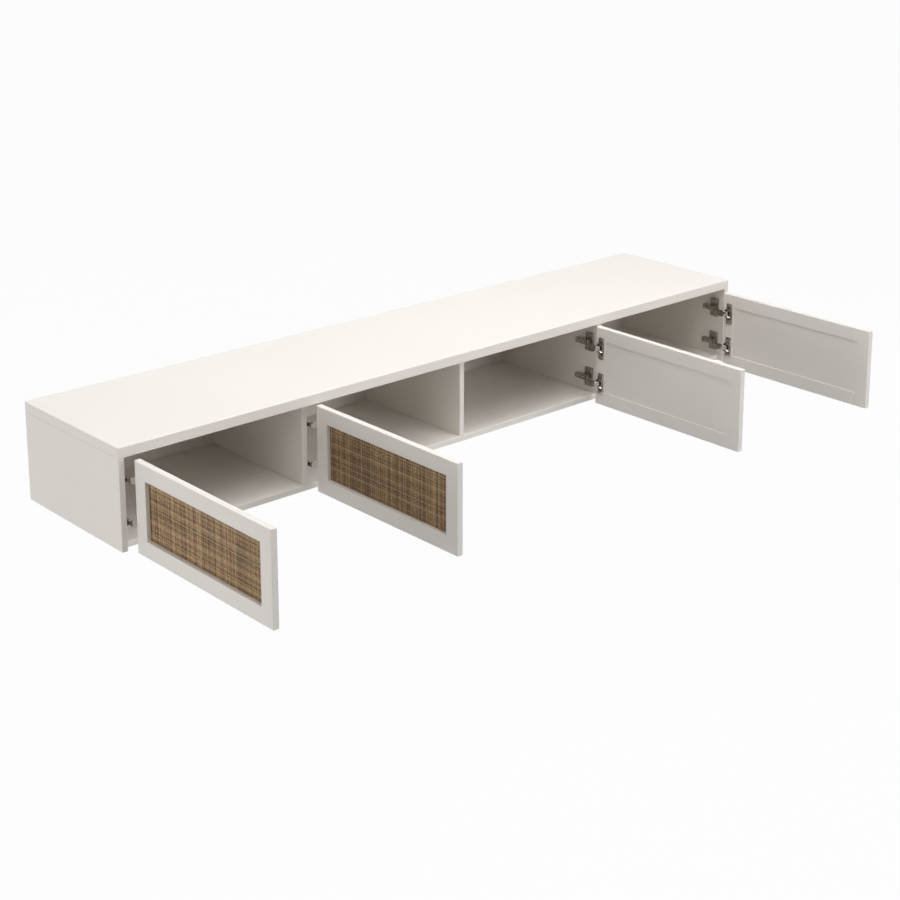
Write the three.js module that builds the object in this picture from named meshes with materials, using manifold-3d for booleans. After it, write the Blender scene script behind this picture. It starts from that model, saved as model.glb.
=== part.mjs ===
// Floating media console: a long, shallow cabinet that hangs on a wall. Its four hinged doors stand open.
// Lengths are in millimetres. +X runs along the console, +Y into the wall and +Z up.
// The origin is the middle of the wall rail's face, where it lies against the wall.

import * as THREE from "three";
import { RoundedBoxGeometry } from "three/addons/geometries/RoundedBoxGeometry.js";
import { mergeVertices } from "three/addons/utils/BufferGeometryUtils.js";
import Module from "manifold-3d";

const wasm = await Module();
wasm.setup();

// Cabinet: the top lies over both sides, and the bottom and the dividers stand between them.
const cabinetLength = 2000;
const cabinetDepth = 400;
const cabinetHeight = 240;
const topThickness = 25;
const boardThickness = 15;
const edgeRadius = 2;
const bayCount = 4;
const seam = 0.3; // left open between pieces that touch
const overcut = 2; // how far a cut runs past the face it opens
const mergeTolerance = 0.001;

// Back: thin boards side by side in a groove, with a shallow space behind them for the rails.
const backBoardCount = 5;
const backBoardThickness = 5;
const backRecess = 6;
const grooveDepth = 5;

// Wall fixing: two folded steel strips, the cabinet's hooked over the wall's.
const railSteel = 2;
const railFromEnd = 50; // from each end of the cabinet
const railPlateHeight = 30;
const railHookHeight = 16;
const railDrop = 3.4; // from the underside of the top to the upper rail
const wallHoleRadius = 3;
const wallHoleCount = 6;

// Doors: a frame round a woven rattan panel, closed behind by a thin backing board.
const doorThickness = 16;
const doorGap = 2;
const doorBuffer = 2; // between a closed door and the divider's front edge
const stileWidth = 38;
const doorEdgeRadius = 1.5;
const panelRecess = 10.8; // from the door's front to the ledge that the rattan lies on
const panelLedge = 2;
const rattanThickness = 1.2;
const backingThickness = 1.2; // it lies back in the frame, so its outline shows behind the door

// An open door stands clear of the board that carries it.
const doorStandoff = 10.5; // between that board's face and the open door's front
const doorForward = 22; // from that board's front edge to the open door's hinge edge

// Hinges: a plate and an arm on the board, a link, and a cup let into the back of the door.
const hingeFromEnd = 57;
const cupFromEdge = 15.5;
const cupRadius = 13.2;
const cupWall = 1.2;
const cupDepth = 10.8;
const cupRimRadius = 14.7;
const cupPinRadius = 1.6;
const flangeThickness = 1;
const flangeWidth = 20;
const flangeHeight = 60;
const flangeFromEdge = 10;
const flangeHoleRadius = 1.7;
const flangeHoleSpacing = 47;
const hardwareCornerRadius = 3;
const plateThickness = 5.2;
const plateWidth = 28;
const plateHeight = 52;
const plateSetback = 10.5; // behind the front edge of a divider
const closedClearance = 0.7; // from a closed door's cups to the hinge arms
const plateHoleRadius = 1.8;
const plateHoleSpacing = 12;
const plateHoleFromEnd = 8;
const hardwareEdgeRadius = 0.8;
const armWidth = 13;
const armSteel = 1.5;
const armHeight = 12.2;
const armLength = 45;
const adjustScrewRadius = 3.8;
const adjustScrewHeight = 1.4;
const adjustScrewFromRear = 10;
const clampScrewRadius = 1.8;
const clampHeadRadius = 3.4;
const clampHeadHeight = 1.8;
const clampFromPivot = 12;
const saddleLength = 10;
const runningClearance = 0.3;
const pivotPinRadius = 1.5;
const pivotReach = 13; // from the board's face
const pivotBehind = 21; // from the board's front edge
const linkBossRadius = 3.2;
const linkThickness = 4;
const bowReach = 10; // from the open door's back to the middle of the bow
const bowAhead = 5; // from the bow's crown back to the door's hinge edge
const linkTipDepth = 4; // inside the cup's mouth
const cupPinLean = THREE.MathUtils.degToRad(20); // from the link's tip, into the cup from straight across
const bowStartShare = 0.45;
const bendShare = 0.55;
const hookBendShare = 0.85;
const hookTipShare = 0.7;

// Facets
const roundSegments = 2;
const hardwareSegments = 1;
const cupSides = 20;
const rodSides = 10;
const bendSteps = 6;
const cornerSteps = 3;

// Places that follow from the sizes, in the cabinet's own frame: x from its middle, y from its front, z from
// its underside.
const innerHalfLength = cabinetLength / 2 - boardThickness;
const doorPitch = (2 * innerHalfLength - doorGap) / bayCount;
const doorWidth = doorPitch - doorGap;
const doorHeight = cabinetHeight - topThickness - doorGap;
const ceiling = cabinetHeight - topThickness;
const innerFront = doorThickness + doorBuffer;
const backFront = cabinetDepth - backRecess - backBoardThickness;
const backRear = cabinetDepth - backRecess;
const railLength = cabinetLength - 2 * railFromEnd;
const hangingPlateLow = ceiling - railDrop - railPlateHeight;
const wallPlateHigh = hangingPlateLow - railHookHeight - 2 * seam;
const wallRailHeight = wallPlateHigh - railPlateHeight / 2;
const rimHigh = seam + flangeThickness; // above the back of the door
const armFront = doorThickness + rimHigh + closedClearance;
const armTop = plateThickness + 2 * seam + armHeight;
const clampPlace = pivotBehind + clampFromPivot;
const bowWidth = armWidth - 2 * runningClearance;

// Finishes
const paint = () => new THREE.MeshStandardMaterial({ color: 0xece8e2, roughness: 0.5, metalness: 0 });
const rattan = () => new THREE.MeshStandardMaterial({ color: 0x8f7556, roughness: 0.8, metalness: 0 });
const nickel = () => new THREE.MeshStandardMaterial({ color: 0x8c8880, roughness: 0.35, metalness: 1 });
const chrome = () => new THREE.MeshStandardMaterial({ color: 0xc9c9c6, roughness: 0.15, metalness: 1 });
const zinc = () => new THREE.MeshStandardMaterial({ color: 0x9b9c9a, roughness: 0.5, metalness: 1 });

// Solids from geometries and back, for cutting and joining.
function solidOf(geometry) {
  const bare = geometry.clone();
  bare.deleteAttribute("normal");
  bare.deleteAttribute("uv");
  const merged = mergeVertices(bare, mergeTolerance);
  return new wasm.Manifold(
    new wasm.Mesh({
      numProp: 3,
      vertProperties: merged.attributes.position.array,
      triVerts: new Uint32Array(merged.index.array),
    }),
  );
}

function geometryOf(solid) {
  const cut = solid.getMesh();
  const geometry = new THREE.BufferGeometry();
  geometry.setAttribute("position", new THREE.BufferAttribute(cut.vertProperties, 3));
  geometry.setIndex(new THREE.BufferAttribute(cut.triVerts, 1));
  const faceted = geometry.toNonIndexed();
  faceted.computeVertexNormals();
  return faceted;
}

function piece(name, solid, material) {
  const mesh = new THREE.Mesh(geometryOf(solid), material);
  mesh.name = name;
  return mesh;
}

// A box between two limits on each axis, such as { x: [0, width], y: [0, depth], z: [0, height] }.
function block(limits, radius = 0, segments = roundSegments) {
  const [width, depth, height] = ["x", "y", "z"].map((axis) => limits[axis][1] - limits[axis][0]);
  const geometry =
    radius > 0
      ? new RoundedBoxGeometry(width, depth, height, segments, radius)
      : new THREE.BoxGeometry(width, depth, height);
  const middle = ["x", "y", "z"].map((axis) => (limits[axis][0] + limits[axis][1]) / 2);
  return solidOf(geometry.translate(...middle));
}

// A board with rounded edges, left square round the faces that meet another board, such as "z1" for its top.
function board(limits, squareFaces) {
  const longer = { x: [...limits.x], y: [...limits.y], z: [...limits.z] };
  for (const face of squareFaces) {
    const end = Number(face[1]);
    longer[face[0]][end] += end === 1 ? 2 * edgeRadius : -2 * edgeRadius;
  }
  return block(longer, edgeRadius).intersect(block(limits));
}

function rod(radius, length, axis, sides = rodSides) {
  const geometry = new THREE.CylinderGeometry(radius, radius, length, sides);
  if (axis === "x") geometry.rotateZ(Math.PI / 2);
  if (axis === "z") geometry.rotateX(Math.PI / 2);
  return solidOf(geometry);
}

// A flat outline in x and z, made solid between two y limits.
function extrudeAlongY(shape, from, to) {
  const options = { depth: to - from, bevelEnabled: false, curveSegments: cornerSteps };
  const geometry = new THREE.ExtrudeGeometry(shape, options);
  return solidOf(geometry.rotateX(Math.PI / 2).translate(0, to, 0));
}

function roundedRectangle(x0, x1, z0, z1, radius) {
  const shape = new THREE.Shape();
  shape.moveTo(x0 + radius, z0);
  shape.lineTo(x1 - radius, z0);
  shape.absarc(x1 - radius, z0 + radius, radius, -Math.PI / 2, 0);
  shape.lineTo(x1, z1 - radius);
  shape.absarc(x1 - radius, z1 - radius, radius, 0, Math.PI / 2);
  shape.lineTo(x0 + radius, z1);
  shape.absarc(x0 + radius, z1 - radius, radius, Math.PI / 2, Math.PI);
  shape.lineTo(x0, z0 + radius);
  shape.absarc(x0 + radius, z0 + radius, radius, Math.PI, (3 * Math.PI) / 2);
  return shape;
}

// Carcass

// The groove that the back boards stand in, cut into the top, the bottom and both sides.
function backGroove() {
  return block({
    x: [-innerHalfLength - grooveDepth, innerHalfLength + grooveDepth],
    y: [backFront - seam, backRear + seam],
    z: [boardThickness - grooveDepth, ceiling + grooveDepth],
  });
}

function topPanel() {
  const limits = {
    x: [-cabinetLength / 2, cabinetLength / 2],
    y: [0, cabinetDepth],
    z: [ceiling, cabinetHeight],
  };
  return board(limits, ["z0", "y1"]).subtract(backGroove());
}

function bottomPanel() {
  const limits = {
    x: [-innerHalfLength + seam, innerHalfLength - seam],
    y: [innerFront, cabinetDepth],
    z: [0, boardThickness],
  };
  return board(limits, ["x0", "x1", "y1"]).subtract(backGroove());
}

function sidePanel(hand) {
  const outer = (hand * cabinetLength) / 2;
  const inner = hand * innerHalfLength;
  const limits = {
    x: [Math.min(outer, inner), Math.max(outer, inner)],
    y: [0, cabinetDepth],
    z: [0, ceiling - seam],
  };
  return board(limits, ["z1", "y1"]).subtract(backGroove());
}

const dividerPlace = (index) => -innerHalfLength + doorGap / 2 + index * doorPitch;

function divider(index) {
  const limits = {
    x: [dividerPlace(index) - boardThickness / 2, dividerPlace(index) + boardThickness / 2],
    y: [innerFront, backFront - seam],
    z: [boardThickness + seam, ceiling - seam],
  };
  return board(limits, ["z0", "z1", "y1"]);
}

function backBoard(index) {
  const start = -innerHalfLength - grooveDepth + seam;
  const pitch = (-2 * start + seam) / backBoardCount;
  return block({
    x: [start + index * pitch, start + (index + 1) * pitch - seam],
    y: [backFront, backRear],
    z: [boardThickness - grooveDepth + seam, ceiling + grooveDepth - seam],
  });
}

// Wall fixing

// A strip's section in y and z, run along x: a flat plate, a step across the recess, and a hook.
function foldedStrip(outline) {
  const shape = new THREE.Shape(outline.map(([y, z]) => new THREE.Vector2(y, z)));
  const geometry = new THREE.ExtrudeGeometry(shape, { depth: railLength, bevelEnabled: false });
  geometry.rotateX(Math.PI / 2).rotateZ(Math.PI / 2);
  return solidOf(geometry.translate(-railLength / 2, 0, 0));
}

function wallRail() {
  const wall = cabinetDepth;
  const plateFront = wall - railSteel;
  const hookFront = backRear + 2 * seam;
  const hookRear = hookFront + railSteel;
  const plateLow = wallPlateHigh - railPlateHeight;
  const strip = foldedStrip([
    [wall, plateLow],
    [wall, wallPlateHigh],
    [hookRear, wallPlateHigh],
    [hookRear, wallPlateHigh + railHookHeight],
    [hookFront, wallPlateHigh + railHookHeight],
    [hookFront, wallPlateHigh - railSteel],
    [plateFront, wallPlateHigh - railSteel],
    [plateFront, plateLow],
  ]);
  const holePitch = railLength / wallHoleCount;
  const holes = Array.from({ length: wallHoleCount }, (_, index) =>
    rod(wallHoleRadius, railSteel + 2 * overcut, "y").translate([
      (index + 0.5) * holePitch - railLength / 2,
      wall - railSteel / 2,
      wallRailHeight,
    ]),
  );
  return holes.reduce((solid, hole) => solid.subtract(hole), strip);
}

function hangingRail() {
  const plateFront = backRear + seam;
  const plateRear = plateFront + railSteel;
  const hookRear = cabinetDepth - seam;
  const hookFront = hookRear - railSteel;
  const hookLow = wallPlateHigh + seam;
  const stepLow = hangingPlateLow;
  const stepHigh = stepLow + railSteel;
  const plateHigh = stepLow + railPlateHeight;
  return foldedStrip([
    [plateFront, plateHigh],
    [plateRear, plateHigh],
    [plateRear, stepHigh],
    [hookRear, stepHigh],
    [hookRear, hookLow],
    [hookFront, hookLow],
    [hookFront, stepLow],
    [plateFront, stepLow],
  ]);
}

// Doors, in a closed door's own frame: x from its hinge edge, y from its front and z from its foot.

function doorFrame() {
  const shape = new THREE.Shape();
  shape.moveTo(0, 0);
  shape.lineTo(doorWidth, 0);
  shape.lineTo(doorWidth, doorHeight);
  shape.lineTo(0, doorHeight);
  shape.closePath();
  const window = new THREE.Path();
  window.moveTo(stileWidth, stileWidth);
  window.lineTo(stileWidth, doorHeight - stileWidth);
  window.lineTo(doorWidth - stileWidth, doorHeight - stileWidth);
  window.lineTo(doorWidth - stileWidth, stileWidth);
  window.closePath();
  shape.holes.push(window);
  const geometry = new THREE.ExtrudeGeometry(shape, {
    depth: doorThickness - 2 * doorEdgeRadius,
    bevelThickness: doorEdgeRadius,
    bevelSize: doorEdgeRadius,
    bevelOffset: -doorEdgeRadius,
    bevelSegments: roundSegments,
  });
  geometry.rotateX(Math.PI / 2).translate(0, doorThickness - doorEdgeRadius, 0);
  const pocket = doorInset(0, panelRecess, doorThickness + overcut);
  const bores = hingeHeights().map((height) =>
    rod(cupRadius + seam, cupDepth + seam + overcut, "y", cupSides).translate([
      cupFromEdge,
      doorThickness + (overcut - cupDepth - seam) / 2,
      height,
    ]),
  );
  return bores.reduce((solid, bore) => solid.subtract(bore), solidOf(geometry).subtract(pocket));
}

// What fills the ledged pocket behind the window, less a gap all round.
function doorInset(gap, from, to) {
  const border = stileWidth - panelLedge + gap;
  return block({
    x: [border, doorWidth - border],
    y: [from, to],
    z: [border, doorHeight - border],
  });
}

function rattanPanel() {
  const front = panelRecess + seam;
  return doorInset(seam, front, front + rattanThickness);
}

function backingBoard() {
  const front = panelRecess + rattanThickness + 2 * seam;
  return doorInset(seam, front, front + backingThickness);
}

const hingeHeights = () => [hingeFromEnd, doorHeight - hingeFromEnd];

// Hinge parts. The cup is made round the middle of its mouth, with y out of the back of the door.

function hingeCup() {
  const bore = cupRadius - cupWall;
  const profile = [
    [0, -cupDepth],
    [cupRadius, -cupDepth],
    [cupRadius, seam],
    [cupRimRadius, seam],
    [cupRimRadius, rimHigh],
    [bore, rimHigh],
    [bore, cupWall - cupDepth],
    [0, cupWall - cupDepth],
  ].map(([radius, y]) => new THREE.Vector2(radius, y));
  const vessel = solidOf(new THREE.LatheGeometry(profile, cupSides));
  const start = flangeFromEdge - cupFromEdge;
  const outline = roundedRectangle(
    start,
    start + flangeWidth,
    -flangeHeight / 2,
    flangeHeight / 2,
    hardwareCornerRadius,
  );
  const strip = extrudeAlongY(outline, seam, rimHigh);
  const mouth = rod(bore, cupDepth, "y", cupSides);
  const screwHoles = [-1, 1].map((side) =>
    rod(flangeHoleRadius, flangeThickness + 2 * overcut, "y").translate([
      start + flangeWidth / 2,
      rimHigh,
      (side * flangeHoleSpacing) / 2,
    ]),
  );
  const flange = [mouth, ...screwHoles].reduce((solid, cut) => solid.subtract(cut), strip);
  // The pin lies just beside the link's tip, out of the link's way as the door closes or opens further.
  const pinReach = cupPinRadius + runningClearance;
  const pinAside = linkThickness / 2 + pinReach * Math.cos(cupPinLean);
  const pinDepth = linkTipDepth + pinReach * Math.sin(cupPinLean);
  const pinLength = 2 * Math.sqrt(bore ** 2 - pinAside ** 2) + cupWall;
  const pin = rod(cupPinRadius, pinLength, "z").translate([pinAside, -pinDepth, 0]);
  return vessel.add(flange).add(pin);
}

// The plate, arm and link are made at the front edge of the board's face: x off the face, y to the rear and
// z from the middle of the hinge.

function hingePlate(front) {
  const plate = block(
    {
      x: [seam, seam + plateThickness],
      y: [front, front + plateWidth],
      z: [-plateHeight / 2, plateHeight / 2],
    },
    hardwareEdgeRadius,
    hardwareSegments,
  );
  const holes = [-1, 1].flatMap((end) =>
    [-1, 1].map((side) =>
      rod(plateHoleRadius, plateThickness + 2 * overcut, "x").translate([
        plateThickness / 2,
        front + (plateWidth + side * plateHoleSpacing) / 2,
        end * (plateHeight / 2 - plateHoleFromEnd),
      ]),
    ),
  );
  const saddleTop = armTop - armSteel - seam;
  const saddleHalfWidth = armWidth / 2 - armSteel - seam;
  const saddle = block({
    x: [plateThickness, saddleTop],
    y: [clampPlace - saddleLength / 2, clampPlace + saddleLength / 2],
    z: [-saddleHalfWidth, saddleHalfWidth],
  });
  const headBottom = armTop + seam;
  const shank = rod(clampScrewRadius, headBottom - plateThickness, "x");
  const head = rod(clampHeadRadius, clampHeadHeight, "x");
  return holes
    .reduce((solid, hole) => solid.subtract(hole), plate)
    .add(saddle)
    .add(shank.translate([(plateThickness + headBottom) / 2, clampPlace, 0]))
    .add(head.translate([headBottom + clampHeadHeight / 2, clampPlace, 0]));
}

function hingeArm() {
  const foot = plateThickness + 2 * seam;
  const half = armWidth / 2;
  const channel = new THREE.Shape();
  channel.moveTo(foot, -half);
  channel.lineTo(armTop, -half);
  channel.lineTo(armTop, half);
  channel.lineTo(foot, half);
  channel.lineTo(foot, half - armSteel);
  channel.lineTo(armTop - armSteel, half - armSteel);
  channel.lineTo(armTop - armSteel, armSteel - half);
  channel.lineTo(foot, armSteel - half);
  channel.closePath();
  const body = extrudeAlongY(channel, armFront, armFront + armLength);
  const mouth = block({
    x: [pivotReach, armTop + overcut],
    y: [armFront - overcut, pivotBehind + linkBossRadius + runningClearance],
    z: [armSteel - half, half - armSteel],
  });
  const clampHole = rod(clampScrewRadius + runningClearance, armSteel + 2 * overcut, "x");
  const adjustScrew = rod(adjustScrewRadius, armSteel + adjustScrewHeight, "x");
  const pin = rod(pivotPinRadius, armWidth, "z");
  return body
    .subtract(mouth)
    .subtract(clampHole.translate([armTop, clampPlace, 0]))
    .add(pin.translate([pivotReach, pivotBehind, 0]))
    .add(
      adjustScrew.translate([
        armTop + (adjustScrewHeight - armSteel) / 2,
        armFront + armLength - adjustScrewFromRear,
        0,
      ]),
    );
}

// The link's middle line, from its pivot on the arm, round the edge of the open door and into the cup.
function linkCurves() {
  const doorBack = doorStandoff + doorThickness;
  const pivot = new THREE.Vector2(pivotReach, pivotBehind);
  const crown = new THREE.Vector2(doorBack + bowReach, bowAhead - doorForward);
  const tip = new THREE.Vector2(doorBack - linkTipDepth, -doorForward - cupFromEdge);
  const reach = pivot.y - crown.y;
  const drop = crown.y - tip.y;
  const swing = crown.x - tip.x;
  return [
    new THREE.CubicBezierCurve(
      pivot,
      new THREE.Vector2(pivot.x, pivot.y - bendShare * reach),
      new THREE.Vector2(crown.x, crown.y + bendShare * reach),
      crown,
    ),
    new THREE.CubicBezierCurve(
      crown,
      new THREE.Vector2(crown.x, crown.y - hookBendShare * drop),
      new THREE.Vector2(tip.x + hookTipShare * swing, tip.y),
      tip,
    ),
  ];
}

// A band of even thickness along the link's line, from a share of its first bend to the tip.
function linkBand(startShare, width) {
  const [bend, hook] = linkCurves();
  const steps = Array.from({ length: bendSteps + 1 }, (_, index) => index / bendSteps);
  const line = [
    ...steps.map((share) => [bend, startShare + (1 - startShare) * share]),
    ...steps.slice(1).map((share) => [hook, share]),
  ];
  const edge = (side) =>
    line.map(([curve, share]) => {
      const ahead = curve.getTangent(share);
      const middle = curve.getPoint(share);
      return new THREE.Vector2(
        middle.x - (side * ahead.y * linkThickness) / 2,
        middle.y + (side * ahead.x * linkThickness) / 2,
      );
    });
  const shape = new THREE.Shape([...edge(-1), ...edge(1).reverse()]);
  const geometry = new THREE.ExtrudeGeometry(shape, { depth: width, bevelEnabled: false });
  return solidOf(geometry.translate(0, 0, -width / 2));
}

function hingeLink() {
  const tongueWidth = armWidth - 2 * armSteel - 2 * runningClearance;
  const boss = rod(linkBossRadius, tongueWidth, "z").translate([pivotReach, pivotBehind, 0]);
  const bore = rod(pivotPinRadius + runningClearance, tongueWidth + 2 * overcut, "z");
  return linkBand(0, tongueWidth)
    .add(linkBand(bowStartShare, bowWidth))
    .add(boss)
    .subtract(bore.translate([pivotReach, pivotBehind, 0]));
}

// Assembly

const cabinet = new THREE.Group();
cabinet.position.set(0, -cabinetDepth, -wallRailHeight);

cabinet.add(piece("top_panel", topPanel(), paint()));
cabinet.add(piece("bottom_panel", bottomPanel(), paint()));
cabinet.add(piece("left_side", sidePanel(-1), paint()));
cabinet.add(piece("right_side", sidePanel(1), paint()));
for (let index = 1; index < bayCount; index += 1) {
  cabinet.add(piece(`divider_${index}`, divider(index), paint()));
}
for (let index = 0; index < backBoardCount; index += 1) {
  cabinet.add(piece(`back_board_${index + 1}`, backBoard(index), paint()));
}
cabinet.add(piece("wall_rail", wallRail(), zinc()));
cabinet.add(piece("hanging_rail", hangingRail(), zinc()));

// The doors of the left half hang on the board to their left, and those of the right half mirror them.
function addBay(index) {
  const hand = index < bayCount / 2 ? 1 : -1;
  const boardIndex = hand === 1 ? index : index + 1;
  const hangsOnSide = boardIndex === 0 || boardIndex === bayCount;
  const face = hangsOnSide ? hand * -innerHalfLength : dividerPlace(boardIndex) + (hand * boardThickness) / 2;
  const boardFront = hangsOnSide ? 0 : innerFront;
  const name = `door_${index + 1}`;

  const bay = new THREE.Group();
  bay.position.set(face, boardFront, 0);
  bay.scale.x = hand;

  const door = new THREE.Group();
  door.position.set(doorStandoff, -doorForward, 0);
  door.rotation.z = -Math.PI / 2;
  door.add(piece(`${name}_frame`, doorFrame(), paint()));
  door.add(piece(`${name}_rattan`, rattanPanel(), rattan()));
  door.add(piece(`${name}_backing`, backingBoard(), paint()));

  // A door that closes between the sides would meet a plate set as far forward as on a divider.
  const plateFront = hangsOnSide ? armFront : plateSetback;
  ["lower", "upper"].forEach((place, row) => {
    const height = hingeHeights()[row];
    const hinge = new THREE.Group();
    hinge.position.z = height;
    hinge.add(piece(`${name}_${place}_hinge_plate`, hingePlate(plateFront), nickel()));
    hinge.add(piece(`${name}_${place}_hinge_arm`, hingeArm(), nickel()));
    hinge.add(piece(`${name}_${place}_hinge_link`, hingeLink(), chrome()));
    bay.add(hinge);
    const cup = piece(`${name}_${place}_hinge_cup`, hingeCup(), nickel());
    cup.position.set(cupFromEdge, doorThickness, height);
    door.add(cup);
  });
  bay.add(door);
  cabinet.add(bay);
}

for (let index = 0; index < bayCount; index += 1) addBay(index);

const mediaConsole = new THREE.Group();
mediaConsole.add(cabinet);

export default mediaConsole;
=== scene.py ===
import math

import bmesh
import bpy
from mathutils import Matrix, Vector


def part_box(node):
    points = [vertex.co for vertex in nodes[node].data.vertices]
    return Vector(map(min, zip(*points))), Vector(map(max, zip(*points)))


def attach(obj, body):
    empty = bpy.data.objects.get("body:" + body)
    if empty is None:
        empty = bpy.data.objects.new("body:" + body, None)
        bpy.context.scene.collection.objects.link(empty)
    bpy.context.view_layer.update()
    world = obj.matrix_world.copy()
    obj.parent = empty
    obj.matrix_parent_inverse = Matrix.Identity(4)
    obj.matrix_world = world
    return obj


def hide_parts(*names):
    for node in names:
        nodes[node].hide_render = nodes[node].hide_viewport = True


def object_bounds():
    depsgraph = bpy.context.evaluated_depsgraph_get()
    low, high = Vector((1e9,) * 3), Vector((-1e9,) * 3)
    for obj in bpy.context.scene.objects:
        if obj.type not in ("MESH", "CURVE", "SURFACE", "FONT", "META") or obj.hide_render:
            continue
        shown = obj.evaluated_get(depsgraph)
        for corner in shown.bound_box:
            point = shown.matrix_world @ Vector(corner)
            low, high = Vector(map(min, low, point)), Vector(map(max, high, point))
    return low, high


# Floating media console in satin painted MDF: four hinged doors with woven rattan panels stand open.
# Metres throughout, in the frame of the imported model: +X along the console, +Y into the wall, +Z up.

mm = 0.001
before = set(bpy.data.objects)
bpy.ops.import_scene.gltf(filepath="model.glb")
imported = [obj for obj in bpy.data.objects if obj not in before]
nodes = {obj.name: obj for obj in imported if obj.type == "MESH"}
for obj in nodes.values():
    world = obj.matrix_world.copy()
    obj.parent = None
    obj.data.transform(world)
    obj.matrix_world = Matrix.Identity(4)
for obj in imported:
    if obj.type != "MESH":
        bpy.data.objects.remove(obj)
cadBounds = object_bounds()
scene = bpy.context.scene
doorNumbers = (1, 2, 3, 4)
hingeRows = ("lower", "upper")
print("frame loaded:", len(nodes), "nodes")


def handOf(door):
    return 1 if door < 3 else -1  # the left pair hangs on its left edge, the right pair mirrors it


# Materials

def hexToLinear(code):
    # an sRGB hex colour as linear red, green, blue and alpha
    values = [int(code[i:i + 2], 16) / 255 for i in (0, 2, 4)]
    return [v / 12.92 if v <= 0.04045 else ((v + 0.055) / 1.055) ** 2.4 for v in values] + [1]


def addNode(tree, kind, inputs=None, **settings):
    # adds a node, sets its properties, then fills or links its inputs by name or number; a node given as
    # a value stands for its first output, and the hidden twins that some sockets have are passed over
    node = tree.nodes.new(kind)
    for name, value in settings.items():
        setattr(node, name, value)
    for key, value in (inputs or {}).items():
        shown = [s for s in node.inputs if s.enabled and s.name == key]
        socket = shown[0] if shown else node.inputs[key]
        if isinstance(value, bpy.types.Node):
            value = [s for s in value.outputs if s.enabled][0]
        if isinstance(value, bpy.types.NodeSocket):
            tree.links.new(value, socket)
        else:
            socket.default_value = value
    return node


def newMaterial(name):
    material = bpy.data.materials.new(name)
    material.use_nodes = True
    material.node_tree.nodes.clear()
    return material, material.node_tree


def patternScale(size):
    return 1 / size  # a noise's scale for a feature of that size in metres


noiseSpan = (0.3, 0.7)  # what a noise mostly runs between

paint = {
    "colour": "EDE8E1",
    "shadeSpread": 0.012,    # how far the coat's lightness wanders
    "cloudSize": 260 * mm,   # of that wandering
    "sprayGrain": 1.4 * mm,  # orange peel that a spray gun leaves
    "sprayDepth": 0.012 * mm,
    "sprayStrength": 0.5,
    "roughness": (0.40, 0.50),
    "ior": 1.5,              # of the cured lacquer
}


def makePaintedMdf():
    # MDF, sanded, filled and sprayed with a two-part satin lacquer: an even coat with a soft sheen,
    # no grain, and the slightest orange peel where light grazes it
    material, tree = newMaterial("satinLacqueredMdf")
    place = addNode(tree, "ShaderNodeTexCoord").outputs["Object"]
    cloud = addNode(tree, "ShaderNodeTexNoise", {
        "Vector": place, "Scale": patternScale(paint["cloudSize"]), "Detail": 2.0})
    grain = addNode(tree, "ShaderNodeTexNoise", {
        "Vector": place, "Scale": patternScale(paint["sprayGrain"]), "Detail": 1.0})
    lightness = addNode(tree, "ShaderNodeMapRange", {
        "Value": cloud, "From Min": noiseSpan[0], "From Max": noiseSpan[1],
        "To Min": 1 - paint["shadeSpread"], "To Max": 1 + paint["shadeSpread"]})
    colour = addNode(tree, "ShaderNodeHueSaturation", {
        "Value": lightness, "Color": hexToLinear(paint["colour"])})
    roughness = addNode(tree, "ShaderNodeMapRange", {
        "Value": cloud, "From Min": noiseSpan[0], "From Max": noiseSpan[1],
        "To Min": paint["roughness"][0], "To Max": paint["roughness"][1]})
    peel = addNode(tree, "ShaderNodeBump", {
        "Height": grain, "Strength": paint["sprayStrength"], "Distance": paint["sprayDepth"]})
    shader = addNode(tree, "ShaderNodeBsdfPrincipled", {
        "Base Color": colour, "Roughness": roughness, "Normal": peel, "IOR": paint["ior"]})
    addNode(tree, "ShaderNodeOutputMaterial", {"Surface": shader})
    return material


cane = {
    "gap": "17110C",            # painted shade: the dark sheet seen in the gaps between the strands
    "dark": (0.12, "412E1F"),   # place between gap and light, and colour
    "middle": (0.55, "90734F"),
    "light": "D8B68A",
    "toneSpan": (0.26, 1.26),   # what the strands' tone, blotches and fibres add up to
    "blotchSize": 34 * mm,      # where the cane was stained darker
    "blotchWeight": 0.3,
    "fibreSize": 0.9 * mm,      # fibres along a strand; finer ones don't show
    "fibreWeight": 0.35,
    "fibreDepth": 0.06 * mm,
    "fibreStrength": 0.6,
    "roughness": 0.62,
}


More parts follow.
